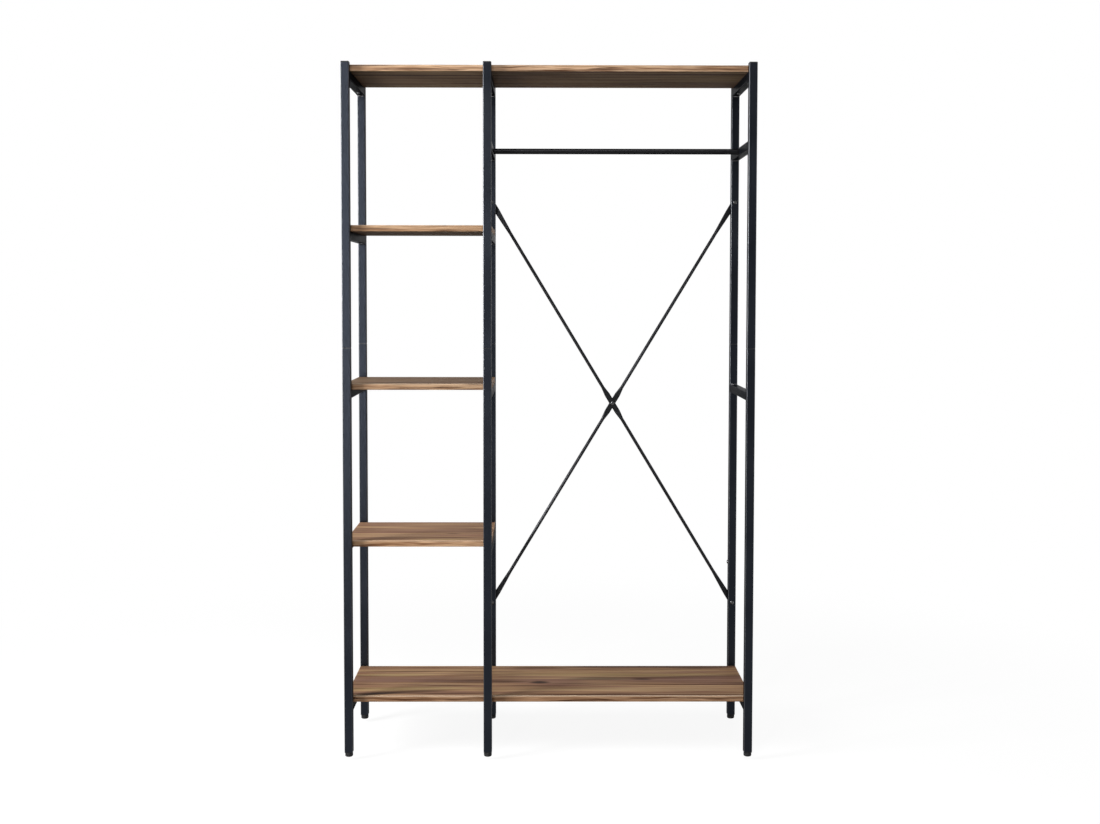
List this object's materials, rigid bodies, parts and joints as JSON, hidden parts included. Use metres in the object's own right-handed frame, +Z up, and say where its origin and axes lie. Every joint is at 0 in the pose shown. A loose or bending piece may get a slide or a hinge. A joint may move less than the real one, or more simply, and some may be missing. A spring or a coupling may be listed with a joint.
{
  "type": "clothes rack",
  "caption": "Free-standing open clothes rack: square-tube ladder frames carry wood-faced boards beside a hanging bay with a round rail and a rod cross brace, on levelling feet.",
  "frame": {"origin": "on the floor, under the middle of the whole rack's bounding box", "axes": "+X to the right seen from the front, +Y from front to back, +Z up"},
  "size_m": [1.065, 0.3612, 1.802],
  "materials": {
    "black_powder_coat": "fine-grained satin powder coat",
    "walnut_laminate": "matt wood-grain facing",
    "walnut_edging": "matt wood-grain edging",
    "black_plastic": "moulded, fine texture",
    "zinc_steel": "zinc plated",
    "black_hardware": "black oxide"
  },
  "bodies": {
    "rack": {"board_screws": "black_hardware", "bottom_board": "walnut_laminate", "bottom_board_edging": "walnut_edging", "brace_bolts": "black_hardware", "brace_nuts": "black_hardware", "brace_pivot_bolt": "black_hardware", "brace_pivot_nut": "black_hardware", "brace_washers": "black_hardware", "centre_back_post_lower": "black_powder_coat", "centre_back_post_upper": "black_powder_coat", "centre_bottom_crossbar": "black_powder_coat", "centre_front_post_lower": "black_powder_coat", "centre_front_post_upper": "black_powder_coat", "centre_lower_shelf_crossbar": "black_powder_coat", "centre_middle_shelf_crossbar": "black_powder_coat", "centre_rail_crossbar": "black_powder_coat", "centre_top_crossbar": "black_powder_coat", "centre_upper_shelf_crossbar": "black_powder_coat", "falling_brace_rod": "black_powder_coat", "foot_inserts": "black_plastic", "hanging_rail": "black_powder_coat", "left_back_post_lower": "black_powder_coat", "left_back_post_upper": "black_powder_coat", "left_bottom_crossbar": "black_powder_coat", "left_front_post_lower": "black_powder_coat", "left_front_post_upper": "black_powder_coat", "left_middle_shelf_crossbar": "black_powder_coat", "left_top_crossbar": "black_powder_coat", "left_upper_shelf_crossbar": "black_powder_coat", "lower_shelf": "walnut_laminate", "lower_shelf_edging": "walnut_edging", "lower_shelf_tabs": "black_powder_coat", "middle_shelf": "walnut_laminate", "middle_shelf_edging": "walnut_edging", "post_caps": "black_plastic", "post_joiners": "zinc_steel", "rail_bolts": "black_hardware", "rail_plugs": "zinc_steel", "right_back_post_lower": "black_powder_coat", "right_back_post_upper": "black_powder_coat", "right_bottom_crossbar": "black_powder_coat", "right_front_post_lower": "black_powder_coat", "right_front_post_upper": "black_powder_coat", "right_rail_crossbar": "black_powder_coat", "right_spacer_crossbar": "black_powder_coat", "right_top_crossbar": "black_powder_coat", "rising_brace_rod": "black_powder_coat", "side_bolt": "black_hardware", "top_board": "walnut_laminate", "top_board_edging": "walnut_edging", "upper_shelf": "walnut_laminate", "upper_shelf_edging": "walnut_edging"},
    "centre_back_foot_body": {"centre_back_foot": "black_plastic"},
    "centre_front_foot_body": {"centre_front_foot": "black_plastic"},
    "left_back_foot_body": {"left_back_foot": "black_plastic"},
    "left_front_foot_body": {"left_front_foot": "black_plastic"},
    "right_back_foot_body": {"right_back_foot": "black_plastic"},
    "right_front_foot_body": {"right_front_foot": "black_plastic"}
  },
  "joints": [
    {"name": "centre_back_foot_screw", "type": "slide", "parent": "rack", "child": "centre_back_foot_body", "axis": [0, 0, -1], "range_m": [0, 0.01]},
    {"name": "centre_front_foot_screw", "type": "slide", "parent": "rack", "child": "centre_front_foot_body", "axis": [0, 0, -1], "range_m": [0, 0.01]},
    {"name": "left_back_foot_screw", "type": "slide", "parent": "rack", "child": "left_back_foot_body", "axis": [0, 0, -1], "range_m": [0, 0.01]},
    {"name": "left_front_foot_screw", "type": "slide", "parent": "rack", "child": "left_front_foot_body", "axis": [0, 0, -1], "range_m": [0, 0.01]},
    {"name": "right_back_foot_screw", "type": "slide", "parent": "rack", "child": "right_back_foot_body", "axis": [0, 0, -1], "range_m": [0, 0.01]},
    {"name": "right_front_foot_screw", "type": "slide", "parent": "rack", "child": "right_front_foot_body", "axis": [0, 0, -1], "range_m": [0, 0.01]}
  ]
}
